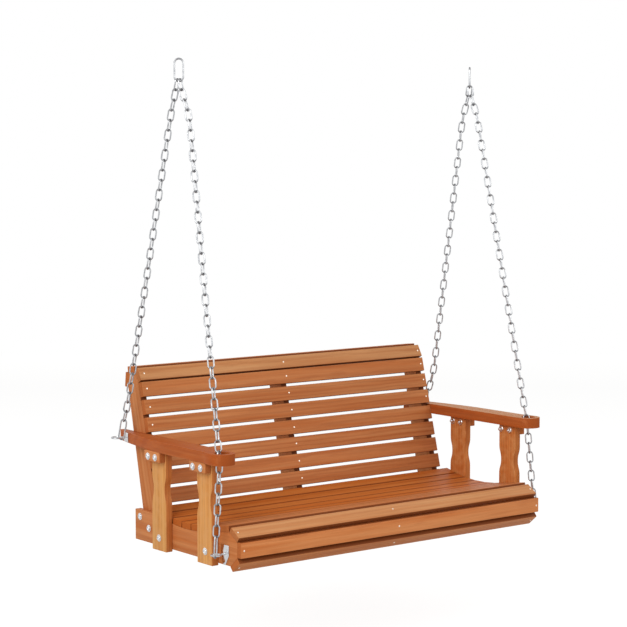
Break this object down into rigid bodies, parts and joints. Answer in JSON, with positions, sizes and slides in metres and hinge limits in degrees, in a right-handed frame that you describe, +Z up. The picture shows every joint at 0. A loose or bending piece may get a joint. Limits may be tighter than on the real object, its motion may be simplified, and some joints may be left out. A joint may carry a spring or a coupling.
{
  "type": "porch swing",
  "caption": "Slatted timber bench with a rolled front edge and back, flat arms on waisted posts, hung on two forked runs of steel chain.",
  "frame": {"origin": "midway between the two points where the ceiling hooks bear inside the top links", "axes": "+Z up, +X to the sitter's left hand, the front of the seat faces -Y"},
  "size_m": [1.3886, 0.695, 1.586],
  "materials": {
    "cedar": "oiled, satin, warm red-brown with fine straight grain",
    "post_wood": "oiled, satin, lighter yellow-brown",
    "bright_zinc": "bright zinc plating",
    "polished_steel": "polished flat plate"
  },
  "bodies": {
    "top_links": {"top_link_left": "bright_zinc", "top_link_right": "bright_zinc"},
    "bench": {"side_rail_left": "cedar", "side_rail_right": "cedar", "center_rail": "cedar", "seat_slat_1": "cedar", "seat_slat_2": "cedar", "seat_slat_3": "cedar", "seat_slat_4": "cedar", "seat_slat_5": "cedar", "seat_slat_6": "cedar", "seat_slat_7": "cedar", "seat_slat_8": "cedar", "front_slat_upper": "cedar", "front_slat_middle": "cedar", "front_slat_lower": "cedar", "arm_cleat_front_left": "cedar", "arm_cleat_front_right": "cedar", "arm_cleat_rear_left": "cedar", "arm_cleat_rear_right": "cedar", "back_stile_left": "cedar", "back_stile_center": "cedar", "back_stile_right": "cedar", "back_slat_1": "cedar", "back_slat_2": "cedar", "back_slat_3": "cedar", "back_slat_4": "cedar", "back_slat_5": "cedar", "back_slat_6": "cedar", "back_slat_7": "cedar", "back_slat_8": "cedar", "crest_slat": "cedar", "rear_slat": "cedar", "arm_left": "cedar", "arm_right": "cedar", "arm_post_front_left": "post_wood", "arm_post_front_right": "post_wood", "arm_post_rear_left": "post_wood", "arm_post_rear_right": "post_wood", "eye_bolt_front_left": "bright_zinc", "eye_bolt_front_right": "bright_zinc", "eye_bolt_rear_left": "bright_zinc", "eye_bolt_rear_right": "bright_zinc", "front_chain_upper_left": "bright_zinc", "front_chain_upper_right": "bright_zinc", "front_chain_lower_left": "bright_zinc", "front_chain_lower_right": "bright_zinc", "front_long_link_left": "bright_zinc", "front_long_link_right": "bright_zinc", "rear_chain_left": "bright_zinc", "rear_chain_right": "bright_zinc", "rear_long_link_left": "bright_zinc", "rear_long_link_right": "bright_zinc", "eye_plate_front_left": "polished_steel", "eye_plate_front_right": "polished_steel", "eye_plate_rear_left": "polished_steel", "eye_plate_rear_right": "polished_steel"}
  },
  "joints": [
    {"name": "swing", "type": "hinge", "parent": "top_links", "child": "bench", "pos_m": [0, 0, -0.0605], "axis": [1, 0, 0], "range_deg": [-25, 25]}
  ]
}
